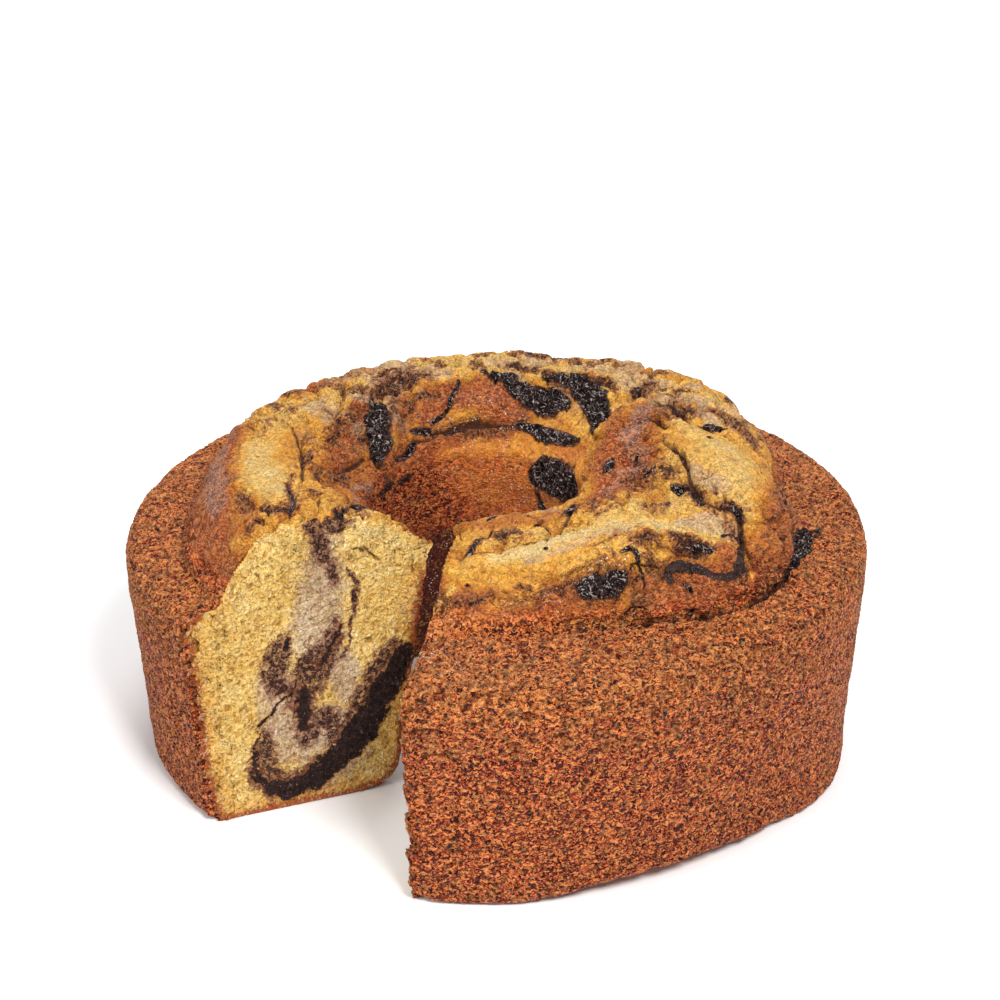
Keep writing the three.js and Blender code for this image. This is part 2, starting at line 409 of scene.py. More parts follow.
CURL = on_crown((35.5, 90, 1.1), (36, 87.5, 1.3), (38, 85.5, 1.4), (40, 86.5, 1.3), (42, 90.5, 1.2),
                (43.4, 94.3, 1.2), (45, 96.6, 1.2), (47.3, 97.2, 1.1), (49.8, 96, 1), (52, 93.6, .8),
                (53.6, 91, .7), (53.4, 88.5, .5), (51.5, 87.5, .4))
DRIP = on_crown((81, 104, 1), (79, 100.5, 2.2), (76, 100, 3), (72, 101, 2.8), (68, 100.5, 1.9),
                (64, 101.5, 1.3), (60, 102.5, .7))
RIBBON_A = on_crown((-176, 61.5, 1), (177, 58, 2.5), (171, 54, 4), (163, 50, 5), (156, 48, 5), (151, 47, 3))
RIBBON_LOW = on_crown((168, 39, 1), (161, 38.5, 2), (155, 37, 2.6), (148, 36, 2.6), (138, 36, 2.4),
                      (130, 36, 1))
RIBBON_B = on_crown((163, 59.5, 1.4), (156, 59, 2.4), (149, 57, 4), (143, 54, 5), (137, 50, 4.5),
                    (131, 46, 3.4), (127, 42, 1.6))
LOOP = on_crown((-168, 58, .6), (-166, 54, .9), (-163, 51, 1), (-161, 47, 1), (-152, 45, .7))
LEFT_STREAK = on_crown((-136, 58, 1.2), (-133, 53, 2.6), (-128, 48, 3.4), (-122, 45, 3.6), (-117, 43, 3.2),
                       (-113, 42, 1.6))
TONGUE = on_crown((48, 93.5, 4))
OVAL = on_wall(83, (18.6, 88.4, 3), (22.5, 88.8, 4.6), (26.2, 88.8, 3.2))
# how far each run of chocolate batter stands up
raised = [(1.4, CURL), (1.0, DRIP), (1.2, RIBBON_A), (0.8, RIBBON_LOW), (1.2, RIBBON_B), (1.0, LOOP),
          (1.0, LEFT_STREAK), (0.8, OVAL)]
rise = np.zeros(len(skin))
for lift, path in raised:
    rise = np.maximum(rise, lift * laid(0.7, path))
wrinkles = peak(cloud(skin, 4.5, 2, 85.0), 0.13)
rise = np.maximum(rise * (0.8 + 0.8 * wrinkles), 1.6 * laid(0.7, TONGUE))

# knots of the strokes where the batter rose smooth
calm_parts = [
    ((97, 68, 8), (88, 72, 13), (76, 78, 13), (66, 86, 8)),
    ((-9, 68, 7), (8, 68, 8), (26, 67, 7), (40, 70, 6), (50, 80, 5)),
    ((-98, 74, 8), (-80, 75, 9), (-64, 76, 7)),
    ((-160, 50, 6), (-176, 50, 7), (-190, 49, 5)),
    ((-4, 46, 5), (10, 47, 6), (22, 46, 4)),
    ((-12, 86, 5), (6, 85, 5), (20, 88, 3)),
    ((-104, 90, 5), (-84, 91, 6), (-68, 94, 6), (-58, 100, 6)),
    ((52, 47, 4), (66, 47, 6), (86, 45, 6), (104, 47, 5), (116, 56, 3)),
    ((34, 92, 4), (44, 95, 4)),
]
LYING = (1, 1, 1.7)           # clouds and bubbles sized by it are wider than high
calmed = np.max([brush(skin, 5, on_crown(*knots)) for knots in calm_parts], axis=0)
craggy = crowned * (0.3 + 0.7 * ease((spread - 41) / 9)) * (1 - 0.75 * calmed)
puffs = cloud(strayed, 10, 2, 80.0)
folded = peak(puffs, 0.10) * craggy
crumbly = peak(cloud(skin, 3.6, 2, 90.0), 0.13) * craggy
grooved = peak(cloud(skin * LYING, 2.0, 2, 95.0), 0.12) * (1 - 0.7 * crowned) * (1 - 0.7 * (spread < 60))
swell = cloud(skin, 17, 2, 5.0) * (0.4 + 0.8 * crowned)
lumpy = cloud(skin, 7, 2, 9.0) * (0.3 + 0.2 * crowned + 0.5 * craggy)
calm = np.where(on_cut, 0.3, 1.0) * (1 - under)

wall = np.flatnonzero(~on_cut & (crowned < 0.5) & (height > 2) & (spread > 80))
rim = wall[height[wall] > 54]
tube = np.flatnonzero(~on_cut & (height > 4) & (height < 84) & (spread < 60))
top = np.flatnonzero(~on_cut & (crowned > 0.5))
pore = np.zeros(len(skin))
pore_edge = np.zeros(len(skin))
# where bubbles broke open, how many, their least and most radius, depth for its size and seed
for chosen, *bubbles in (
        (wall, 6000, 0.7, 1.5, 0.45, 11), (rim, 2600, 0.9, 2.4, 0.5, 12),
        (tube, 1500, 0.7, 1.3, 0.3, 13), (top, 2600, 0.5, 1.4, 0.5, 14)):
    deep, edge = pits(strayed * LYING, chosen, *bubbles)
    pore = np.maximum(pore, deep)
    pore_edge = np.maximum(pore_edge, edge)

move = swell + lumpy - drop + rise - pore + 0.25 * pore_edge * (1 - crowned)
move += 1.6 * craggy * ease(np.abs(puffs) / 0.4) - 1.8 * folded - 1.0 * crumbly - 0.85 * grooved
skin += outward * (move * calm)[:, None]
links = rows_of(body.data.edges, "vertices", 2, np.int32)
skin = settled(skin, links, 0.5 * ease(drop / 1.2), 2)


def push_out(by):
    """Moves the skin away from the middle of the ring by so many mm."""
    skin[:, :2] += skin[:, :2] * (by / spread)[:, None]


# the knife tore the skin along both cuts: on the outer wall, in the tube and on the crown
TORN_OUTSIDE, TORN_INSIDE, TORN_ABOVE = 104, 46, 84      # mm of radius, radius and height
tearing = cloud(skin, 4, 3, 70.0) * 2.6 + cloud(skin, 1.7, 2, 71.0) * 1.8
for way, into in ((left_way, -1), (right_way, 1)):
    by_cut = peak(off_plane(skin, way), 4) * (along_cut(skin, way) > 1)
    torn = tearing * by_cut
    push_out(torn * ((spread > TORN_OUTSIDE) | (spread < TORN_INSIDE)))
    skin[:, 2] += 0.8 * torn * (height > TORN_ABOVE)
    pulled = 3.0 * into * by_cut * ease(1 - height / 6)
    aside = (0.8 * torn + pulled) * (spread > CROWN_REACH)
    skin[:, :2] += np.array([-way[1], way[0]]) * aside[:, None]

# part of the base edge came up off the pan, and beside it the base spread: where, over how
# wide a turn and by how much, in degrees, degrees and mm
LIFTED_AT, LIFTED_OVER, LIFTED_BY = 27, 26, 5.0
NOTCH_AT, NOTCH_OVER, NOTCH_BY = 50, 4, 2.5
SPREAD_AT, SPREAD_OVER, SPREAD_BY = 64, 18, 3.0
low_down = ease(1 - height / 18) * ease((spread - 96) / 20)
lifted = LIFTED_BY * ease(1.3 - 1.3 * np.abs(azimuth - LIFTED_AT) / LIFTED_OVER)
lifted += NOTCH_BY * peak(azimuth - NOTCH_AT, NOTCH_OVER)
lifted += 1.2 * ease(cloud(skin, 9, 3, 60.0) * 1.5)
skin[:, 2] += lifted * low_down
push_out(SPREAD_BY * peak(azimuth - SPREAD_AT, SPREAD_OVER) * ease(1 - height / 30) * (spread > 90))
skin[:, 2] = np.maximum(skin[:, 2], 0)
move_points(body, skin)

# ---- Baking and marbling ------------------------------------------------------------
# The crown is pale yellow where it rose last and brown where folds touched the pan. The
# chocolate batter broke through in ribbons, spots and a fine stain, some under a pink film.

# how brown the skin is, from 0 to 1: it is browner by the pan and paler on the crown
bake = 0.68 - 0.36 * ease((height - 84) / 11) * (spread < 100)
bake -= 0.12 * ease((height - 58) / 12) * (crowned < 0.5) * (spread > 90)
# in the tube the wall is paler, and below about 58 mm it is painted darker as shade
in_tube = ease((39 - spread) / 5) * ease((92 - height) / 4)
bake += (0.62 * ease((58 - height) / 14) + 0.46 - bake) * in_tube
bake += 0.06 * cloud(skin, 22, 2, 40.0) + 0.14 * craggy * cloud(skin, 9, 3, 44.0)
# how brown, softness and run of each brown or pale part
browned = crown_runs(
    (0.17, 5, (94, 64, 6), (84, 69, 9), (75, 77, 9), (67, 83, 8), (60, 88, 4)),
    (0.38, 4, (97, 56, 4), (88, 61, 5)),
    (0.36, 4, (78, 88, 3), (70, 91, 4), (62, 94, 3)),
    (0.60, 4, (96, 94, 4), (84, 95, 5), (72, 96, 5), (63, 97, 4), (57, 97, 3)),
    (0.32, 4, (-10, 66, 5), (0, 71, 5), (9, 73, 4)),
    (0.10, 3, (0, 64, 3), (10, 65, 4), (20, 63, 4), (30, 65, 4), (38, 70, 4), (44, 75, 3)),
    (0.22, 4, (34, 60, 3), (44, 64, 5), (52, 68, 4)),
    (0.14, 3, (46, 78, 3), (50, 82, 4), (53, 87, 3)),
    (0.14, 2, (-11, 74, 2.5), (-12, 80, 2)),
    (0.55, 3, (-9, 77, 3), (-1, 76, 2.5)),
    (0.28, 3, (0, 79, 2.5), (7, 79, 2)),
    (0.30, 3, (16, 73, 2.5), (24, 74, 3), (31, 77, 3), (34, 82, 3)),
    (0.52, 3, (-12, 86, 5), (2, 86, 5), (16, 87, 4), (28, 88, 4)),
    (0.50, 2, (-12, 44, 3), (0, 46, 3), (12, 48, 4), (22, 46, 3.5)),
    (0.24, 2, (10, 55, 2.5), (14, 58, 2)),
    (0.30, 3, (-11, 54, 4), (-8, 50, 3)),
    (0.60, 2, (30, 85, 2), (34, 91, 3), (39, 92, 4), (43, 97, 4), (47, 102, 2)),
    (0.58, 1.5, (48, 93.5, 3.6)),
    (0.30, 0.8, (53.5, 93, 1.2), (52.5, 96, 1.3), (51, 99, 1)),
    (0.64, 4, (36, 52, 3), (50, 47, 6), (62, 45, 9), (78, 42, 10), (96, 42, 10), (110, 47, 9),
     (116, 56, 6)),
    (0.45, 2, (40, 57, 2), (50, 58, 2), (58, 60, 2)),
    (0.46, 2, (121, 48, 2.5), (116, 52, 2.5)),
    (0.20, 4, (166, 68, 4), (150, 69, 5), (136, 68, 5), (124, 72, 5), (112, 76, 5), (100, 76, 4)),
    (0.22, 4, (-150, 74, 5), (-168, 70, 6), (-182, 70, 6), (-192, 72, 4)),
    (0.44, 2, (110, 70, 3), (106, 73, 3)),
    (0.66, 4, (-150, 48, 4), (-162, 52, 6), (-178, 50, 9), (-188, 44, 6)),
    (0.46, 2, (166, 57, 1.4), (157, 55.5, 1.2), (152, 53, 1), (147, 48, 1.2), (138, 42, 1.6)),
    (0.40, 2, (155, 42, 2.5), (146, 41, 3), (139, 39, 2)),
    (0.44, 2, (168, 35, 2.5), (158, 34, 2.5), (148, 33, 1.5)),
    (0.38, 4, (-84, 60, 5), (-96, 64, 7), (-108, 64, 6), (-116, 62, 4)),
    (0.60, 3, (-138, 64, 2), (-130, 58, 4), (-120, 53, 5), (-104, 52, 5), (-88, 51, 4)),
    (0.58, 2, (-87, 71, 2)),
    (0.16, 5, (-94, 77, 4), (-80, 77, 6), (-69, 76, 6), (-62, 74, 4)),
    (0.22, 4, (-104, 74, 5), (-118, 70, 5), (-130, 69, 5), (-142, 68, 4)),
    (0.62, 3, (-128, 80, 3), (-138, 79, 3.5), (-146, 78, 2)),
    (0.34, 3, (-60, 67, 4), (-54, 62, 4)),
    (0.48, 4, (-60, 54, 4), (-72, 55, 5), (-84, 58, 5)),
    (0.62, 4, (-106, 88, 4), (-90, 88, 5), (-76, 90, 6), (-67, 94, 6), (-60, 99, 5)),
    (0.50, 3, (-61, 86, 3), (-57, 92, 3)),
    (0.60, 3, (-134, 48, 3), (-143, 52, 5), (-148, 55, 3)),
)
browned += [(0.30, 2, on_wall(32, (138, 65, 5), (126, 64, 5), (114, 64, 4)))]
browned += crown_runs((0.30, 2, (141, 44, 2.4), (134, 43, 3), (128, 42, 2)))
for brown, soft, path in browned:
    bake += (brown - bake) * laid(soft, path, height > WALLS_FROM if is_on_wall(path) else on_top)

# softness and run of each dark mark
chocolate = [
    (0.4, CURL), (1.0, OVAL), (1.0, RIBBON_A), (1.0, RIBBON_LOW), (1.0, RIBBON_B), (0.4, LOOP),
    (1.6, LEFT_STREAK), (0.4, DRIP),
    (1.0, on_wall(31, (148, 78, 5.5), (138, 78.5, 7.5), (126, 78.5, 7.5), (114, 79, 5.5))),
    (0.8, on_wall(32, (152, 72, 1.4), (150, 66, 1.8), (147, 59, 1.4))),
    (0.6, on_wall(32, (108, 80, .8), (106, 70, 1), (108, 60, .8))),
]
chocolate += crown_runs(
    (0.4, (36.5, 90.5, .4), (37.3, 92.5, .8), (38, 95, .6)),
    (0.4, (29, 77.5, .4), (31, 78, .6), (31.7, 82, .5), (30.5, 87, .4)),
    (0.7, (43, 84, .7), (45.5, 87, 1.4), (46, 90, 1.2)),
    (0.5, (92, 50.5, 1.4), (89, 53, 1), (83, 57, 1), (75, 61, .6)),
    (0.4, (101, 67, .6), (99, 72, 1), (98, 76, .6)),
    (0.4, (93, 69, .7), (91, 69.5, .7)),
    (0.4, (86, 69.5, .9)),
    (0.4, (81, 58, .7)),
    (0.4, (79, 85, .9), (80, 90, 1.1)),
    (0.9, (66, 60, 1.6)),
    (0.6, (63, 67, .8), (61, 71, 1.2), (58, 76, 1.2), (58, 80, .7)),
    (0.6, (60, 84, .9), (59, 87.5, 1)),
    (0.4, (56, 90, .7), (54, 92, .5), (52, 95, .4)),
    (0.7, (76, 37.5, 1.8), (68, 37.5, 1.8)),
    (0.4, (80, 46, .5), (73, 46, .6), (72, 50, .4)),
    (0.3, (66, 52, .5), (66, 54.5, .5), (63, 55, .5), (62, 53, .5)),
    (0.7, (62, 63, .8), (62, 66, 1.8)),
    (0.5, (113, 60, .8), (111, 63, 1), (108, 65, .6)),
    (0.5, (134, 66, 1), (129, 62, .9)),
    (0.4, (-16, 42, 1), (-12, 41.5, 1.3), (-8, 41, .6)),
    (0.3, (-4, 41.5, .4), (6, 40.5, .5), (12, 43, .5), (15, 49, .5), (17, 56, .4)),
    (0.4, (14, 52.5, .9), (16, 54, .9)),
    (0.5, (26, 50, 1.2), (28.5, 50, 1.1)),
    (0.3, (-2, 49, .4), (-2.5, 53, .5)),
    (0.6, (-4, 54, .8), (-6, 58, .9), (-9, 62, .7)),
    (0.3, (-7, 72, .7)),
    (0.3, (-6, 78.5, .4), (-3, 77.3, .5)),
    (0.3, (13, 67, .7)),
    (0.4, (13, 76, .9)),
    (0.5, (-126, 40.5, .8), (-133, 40, 1.2), (-140, 41, .7)),
    (0.4, (-151, 65, 1.1)),
    (0.9, (-142, 44, 1.4), (-149, 43, 1.4)),
    (0.9, (-46, 67, 1), (-47, 61, 1.6), (-48, 56, 1.8), (-50, 50, 1.6)),
    (0.5, (-57, 85, .8), (-54, 83, 1.2), (-52.5, 79, .9), (-56, 75, .6), (-64, 71, .4)),
    (0.8, (-150, 41, .5), (-158, 40, .7), (-166, 39.5, .5)),
    # on the side that looks away
    (0.6, (-166, 82, .8), (-172, 86, 1.6), (-178, 88, 1)),
    (0.6, (150, 84, 1), (146, 90, 1.6), (140, 93, .8)),
)
cocoa = np.zeros(len(skin))
for soft, path in chocolate:
    cocoa = np.maximum(cocoa, laid(soft, path, height > (WALLS_FROM if is_on_wall(path) else CROWN_FROM)))

# how strong, softness and run, in layers: brown stain, pink film and beige mixed batter
stained = crown_runs(
    (1.0, 1.2, (1, 53, 2), (7, 54.5, 2.6)),
    (1.0, 1.2, (-4, 54, 1.4), (-6, 58, 1.8), (-9, 62, 1.6)),
    (0.6, 1.5, (-8, 78, 2), (-1, 76, 1.8)),
    (0.7, 1.0, (6, 58, .8), (11, 57, .9)),
    (0.8, 1.2, (5, 74, 1.2), (8, 75, 1.4)),
    (0.7, 1.8, (9, 76, 1.6), (13, 78, 2.6), (17, 82, 2.6)),
    (0.6, 1.8, (16, 77, 1.4), (20, 77, 2), (25, 78, 2), (29, 82, 1.8)),
    (0.9, 2.0, (19, 84.5, 1.6), (25, 84.5, 1.8), (30, 84, 1.6)),
    (0.8, 0.9, (23, 71.5, .6), (27, 73, .7), (30, 72.5, .8), (31, 71, .6)),
    (0.9, 2.0, (33, 76, 2.4), (38, 78, 2.6)),
    (1.0, 1.8, (42, 80, 2.4), (44, 84, 3.4), (46, 89, 2.4)),
    (1.0, 1.6, (64, 66, 2), (61, 71, 2.4), (58, 77, 2.4), (59, 83, 2.8), (58, 88, 1.6)),
    (1.0, 1.6, (66, 60, 3.2)),
    (0.9, 1.4, (25, 50, 1.6), (29, 51, 1.8)),
    (0.6, 1.4, (32, 58, 1), (42, 60, 1.2)),
    (0.7, 2.0, (52, 103, 1.8), (60, 103, 1.8)),
    (0.8, 2.4, (60, 50, 4), (63, 55, 3)),
    (0.7, 2.4, (72, 50, 3), (84, 44, 3)),
    (0.9, 2.0, (92, 50, 2), (84, 56, 1.4)),
    (1.0, 2.0, (129, 62, 3), (133, 70, 3)),
    (1.0, 2.0, (118, 61, 2.4), (112, 65, 2.6), (106, 67, 1.6)),
    (0.9, 2.0, (104, 78, 3), (96, 82, 2.4), (90, 84, 1.6)),
    (0.9, 1.6, (123, 72, 2), (117, 80, 2.4)),
    (1.0, 2.0, (174, 66, 3), (168, 66, 3)),
    (0.9, 1.4, (164, 63, 1.6), (152, 63, 1.8), (141, 63, 1.6)),
    (0.9, 1.8, (176, 76, 1.8), (168, 76, 2), (155, 77, 1.6)),
    (0.9, 2.0, (-150, 42, 2), (-162, 40, 2.4), (-174, 38, 2.6), (-187, 38, 2.4), (-194, 42, 1.8)),
    (0.4, 3.0, (-164, 52, 4), (-180, 49, 4)),
    (1.0, 2.2, (-140, 62, 2.4), (-150, 64, 4), (-158, 64, 3)),
    (1.0, 2.0, (-153, 55, 2), (-159, 54, 2.2)),
    (0.9, 2.0, (-146, 70, 1.8), (-156, 70, 1.8)),
    (0.8, 2.4, (-126, 58, 3), (-116, 58, 2.8), (-104, 54, 3)),
    (1.0, 1.4, (-58, 85, 1.8), (-54, 82, 2.2), (-53, 78, 1.8), (-60, 73, 1.4), (-72, 68, 1)),
    (1.0, 1.8, (-45, 69, 1.8), (-47, 62, 3), (-49, 56, 3.6), (-52, 49, 3), (-58, 45, 1.6)),
    (0.8, 2.0, (-66, 86, 2.6), (-61, 88, 3)),
    (0.5, 2.0, (-64, 55, 2), (-74, 57, 2.6), (-84, 60, 2)),
    (0.7, 2.0, (-131, 52, 4), (-120, 48, 4)),
    (0.6, 1.6, (-98, 78, 1.2), (-106, 76, 1.8)),
    (0.6, 2.4, (-170, 84, 3), (178, 88, 3)),
    (0.6, 2.4, (148, 86, 3), (136, 92, 3)),
)
filmed = crown_runs(
    (0.9, 0.8, (-10, 40.5, .9), (-2, 39.5, 1.3), (8, 39, 1.4), (19, 40, 1.4), (25, 43, 1.2), (26, 47, .8)),
    (0.7, 1.6, (52, 45, 3), (60, 47, 4), (72, 46, 4), (84, 47, 3)),
    (0.9, 2.0, (100, 44, 4), (110, 50, 4.5), (116, 57, 3.5), (119, 61, 2)),
    (0.9, 2.0, (-106, 90, 2.4), (-90, 90, 3.4), (-78, 90, 4), (-68, 92, 3)),
    (0.8, 1.6, (100, 95, 1.4), (88, 96, 1.6), (74, 97, 1.4)),
    (0.8, 0.8, (53, 95, .9), (53.5, 91, 1), (51.5, 88.5, 1)),
    (0.9, 0.8, (-64, 49, .9), (-80, 47, 1.2), (-92, 43, 1.3), (-103, 39, 1)),
    (0.5, 2.0, (10, 90, 2), (20, 92, 2)),
)
mixed_in = crown_runs(
    (0.9, 2.4, (48, 77, 3), (52, 81, 4), (55, 86, 3), (55, 89, 1.6)),
    (0.7, 1.8, (8, 69, 1.6), (17, 69, 1.8), (24, 69, 1.6), (34, 72, 2)),
    (0.8, 2.4, (72, 64, 2.4), (66, 70, 3), (64, 78, 3)),
    (0.9, 2.6, (122, 62, 3), (118, 66, 4), (110, 72, 3), (100, 72, 2.6)),
    (0.7, 3.0, (158, 70, 4), (142, 71, 4), (130, 73, 4)),
    (0.9, 2.6, (-134, 64, 3), (-144, 65, 4), (-156, 65, 4), (-166, 62, 3)),
    (0.6, 3.0, (-112, 72, 3), (-124, 70, 4)),
    (0.6, 3.0, (-178, 66, 3), (172, 72, 4)),
)
layers = {}
for layer, strokes in (("stain", stained), ("film", filmed), ("beige", mixed_in)):
    layers[layer] = np.zeros(len(skin))
    for amount, soft, path in strokes:
        layers[layer] = np.maximum(layers[layer], amount * laid(soft, path))
blotches = 0.75 * ease((cloud(skin, 9, 3, 50.0) - 0.06) / 0.34) * craggy
layers["stain"] = np.maximum(layers["stain"], blotches) + 0.14 * craggy
pale = ease((cloud(skin, 13, 2, 57.0) + 0.05) / 0.3) * craggy * (height > 86) * ease(skin[:, 1] / 20)
layers["beige"] = np.maximum(layers["beige"], 0.7 * pale)

# low in the tube the wall is painted dark as shade, and made smooth
inward = -(outward[:, :2] * skin[:, :2]).sum(axis=1) / spread
deep = ease((50 - spread) / 4) * ease((inward - 0.2) / 0.4) * ease((60 - height) / 12)
bake += (1.06 - bake) * deep

# painted glints, white specks for light caught on the sugary crust: softness and run where they are thick
sugared = (0.1 + 0.1 * on_top + 0.4 * in_tube) * (1 - deep)
glinting = [
    (4, on_crown((-13, 96, 6), (-8, 104, 6), (-4, 94, 5))),
    (4, on_crown((-150, 44, 3), (-164, 42, 4), (-178, 42, 5), (-190, 41, 4), (-200, 42, 3))),
    (3, on_crown((12, 79, 3), (22, 80, 6), (30, 80, 3))),
    (4, on_wall(32, (176, 72, 8), (150, 70, 8))),
]
for soft, path in glinting:
    sugared = np.maximum(sugared, brush(skin, soft, path))

# the relief's grooves and folds, which get painted shade
valleys_to_shade = np.max([0.9 * grooved, folded, 0.8 * crumbly], axis=0)
layers.update(
    cut=cut_left + 2 * cut_right,
    bake=bake,
    cocoa=cocoa,
    sugar=sugared,
    open_grain=1 - crowned * ease((height - 79) / 7),
    smooth=np.maximum(0.65 * in_tube, deep),
    curl=laid(0.4, CURL),
    groove=valleys_to_shade * calm * (1 - 0.8 * in_tube),
    # painted shade in the creases, darkest along their thin lines
    crease=0.45 * ease(drop / 3) + 0.55 * crease_shade_line,
    pore=pore,
    pore_edge=pore_edge)
for layer, values in layers.items():
    keep(body, layer, values)


def socket(place, value):
    """Links a node's socket to another's output, or sets it."""
    if isinstance(value, bpy.types.NodeSocket):
        tree.links.new(value, place)
    else:
        place.default_value = value


def add(kind, inputs=None, **settings):
    """A shader node with its own settings, and its sockets linked or set."""
    node = tree.nodes.new("ShaderNode" + kind)
    for name, value in settings.items():
        setattr(node, name, value)
    for name, value in (inputs or {}).items():
        socket(node.inputs[name], value)
    return node


def sums(kind, first, second=0.0, third=0.0):
    """One step of arithmetic."""
    node = add("Math", operation=kind)
    for place, value in zip(node.inputs, (first, second, third)):
        socket(place, value)
    return node.outputs[0]


def times(*values):
    """The product of several values."""
    result = values[0]
    for value in values[1:]:
        result = sums("MULTIPLY", result, value)
    return result


def sway(value, noisy, amount):
    """A value pushed up and down by noise of 0 to 1."""
    return sums("MULTIPLY_ADD", sums("SUBTRACT", noisy, 0.5), amount, value)


def tone(red, green, blue):
    """A colour from its everyday 0 to 255 values."""
    light = [((c / 255 + 0.055) / 1.055) ** 2.4 if c > 10 else c / 3295 for c in (red, green, blue)]
    return (*light, 1)


def shades(amount, *stops):
    """A colour that runs through stops, each a place from 0 to 1 and red, green and blue."""
    node = add("ValToRGB", {"Fac": amount})
    band = node.color_ramp.elements
    while len(band) < len(stops):
        band.new(0.5)
    for stop, (place, *colour) in zip(band, stops):
        stop.position = place
        stop.color = tone(*colour)
    return node.outputs["Color"]


def blend(amount, under, over):
    """One colour under another, which shows by an amount of 0 to 1."""
    node = add("Mix", data_type="RGBA")
    for place, value in ((0, amount), (6, under), (7, over)):
        socket(node.inputs[place], value)
    return node.outputs[2]


def coated(colour, *coats):
    """A colour under plain coats, each an amount and red, green and blue."""
    for amount, *coat in coats:
        colour = blend(amount, colour, tone(*coat))
    return colour


def span(value, low, high, to_low=0.0, to_high=1.0):
    """Carries a value from one range to another, softly and without overrun."""
    node = add("MapRange", {"Value": value, "From Min": low, "From Max": high,
                            "To Min": to_low, "To Max": to_high}, interpolation_type="SMOOTHSTEP")
    return node.outputs["Result"]


def grain(place, size, detail=3.0, distortion=0.0, rough=0.55):
    """Cloudy noise with lumps of about size mm."""
    node = add("TexNoise", {"Vector": place, "Scale": 1 / (size * MM), "Detail": detail,
                            "Distortion": distortion, "Roughness": rough})
    return node.outputs["Fac"]


def cells(place, size):
    """Distance from the middle of round cells that are about size mm apart."""
    node = add("TexVoronoi", {"Vector": place, "Scale": 1 / (size * MM)})
    return node.outputs["Distance"]


def ridges(place, size, detail=2.0):
    """0 on winding lines that lie about size mm apart, and up to 1 between them."""
    off = sums("ABSOLUTE", sums("SUBTRACT", grain(place, size, detail, 0.7), 0.5))
    return sums("MULTIPLY", off, 5.0)


def read(name):
    """The numbers that the points keep under a name."""
    return add("Attribute", attribute_name=name).outputs["Fac"]


def bump(relief, depth):
    """A relief of about depth mm."""
    return add("Bump", {"Height": relief, "Strength": 1.0, "Distance": depth * MM}).outputs[0]


def finish(name):
    """Starts a material. The nodes that are added next go into its tree."""
    global tree
    material = bpy.data.materials.new(name)
    material.use_nodes = True
    tree = material.node_tree
    tree.nodes.clear()
    return material


def surface(colour, roughness, specular, relief=None):
    """Ends a material: its colour, how rough and how shiny it is, and its relief."""
    shader = add("BsdfPrincipled", {"Base Color": colour, "Roughness": roughness,
                                    "Specular IOR Level": specular})
    if relief is not None:
        socket(shader.inputs["Normal"], relief)
    tree.links.new(shader.outputs[0], add("OutputMaterial").inputs[0])


crust = finish("baked_crust")
place = add("TexCoord").outputs["Object"]
flat = add("Mapping", {"Vector": place, "Scale": (1, 1, 1.3)}).outputs["Vector"]
fine = grain(flat, 0.7, 4, 0.5, 0.7)
crumby = grain(flat, 1.6, 4, 0.5, 0.65)
patchy = grain(place, 6, 4)
broad = grain(place, 28, 2)
worm = ridges(flat, 2.4, 1)
micro = grain(flat, 1.4, 2, 1.2, 0.55)
spot = grain(place, 1.5, 4, 0.8, 0.7)
open_grain = read("open_grain")
stain = read("stain")

level = sway(read("bake"), patchy, 0.26)
level = sway(level, broad, 0.16)
level = sway(level, crumby, 0.24)
level = sway(level, fine, 0.30)
on_pan = shades(level,
                (0.25, 250, 174, 80), (0.45, 240, 126, 50), (0.62, 224, 91, 38),
                (0.78, 198, 66, 32), (0.90, 142, 46, 24), (1.0, 92, 28, 16))
in_air = shades(level,
                (0.03, 246, 220, 162), (0.18, 236, 194, 106), (0.33, 240, 174, 64),
                (0.46, 234, 146, 50), (0.60, 210, 108, 52), (0.76, 182, 84, 46),
                (0.95, 124, 54, 34))
colour = blend(open_grain, in_air, on_pan)
mixed = span(sway(read("beige"), patchy, 0.9), 0.3, 0.8, 0, 0.8)
colour = blend(mixed, colour, shades(crumby, (0.3, 172, 132, 98), (0.6, 228, 196, 154)))
filmy = span(sway(read("film"), patchy, 0.9), 0.35, 0.85, 0, 0.7)
colour = blend(filmy, colour, shades(crumby, (0.3, 150, 96, 80), (0.62, 224, 178, 158)))
spots = sway(stain, spot, 2.6)
brown = times(span(spots, 0.35, 0.7), span(stain, 0.05, 0.3), 0.8)
darker = times(span(spots, 0.82, 1.02), span(stain, 0.1, 0.4))
colour = coated(colour, (brown, 150, 82, 48), (darker, 50, 26, 20))

# the skin's small hollows and cracks get painted shade and its crests a painted highlight, on the same
# noise as its bump
rough = sums("MAXIMUM", open_grain, span(level, 0.34, 0.72, 0.22, 0.62))
rough = times(rough, sums("MULTIPLY_ADD", read("smooth"), -0.92, 1.0))
hollow_shade = times(span(micro, 0.48, 0.44), rough)
crest_highlight = times(span(micro, 0.525, 0.57), rough, 0.85)
crack_shade = times(span(worm, 0.14, 0.05), sums("MULTIPLY_ADD", rough, 0.6, 0.2))
edge = sway(sway(read("cocoa"), patchy, 0.3), spot, 0.8)
colour = coated(
    colour,
    (crest_highlight, 252, 158, 84),
    (hollow_shade, 60, 11, 4),
    (crack_shade, 50, 14, 6),
    # painted shade in the grooves and folds
    (span(read("groove"), 0.4, 0.95, 0, 0.45), 100, 34, 14),
    # painted shade in the broken bubbles and a painted highlight on their rims
    (span(read("pore"), 0.1, 0.6, 0, 0.5), 104, 36, 16),
    (times(read("pore_edge"), 0.55), 255, 184, 110),
    # painted shade in the creases
    (span(read("crease"), 0.25, 0.8, 0, 0.85), 58, 20, 12),
    (span(edge, 0.2, 0.42, 0, 0.6), 104, 54, 34))
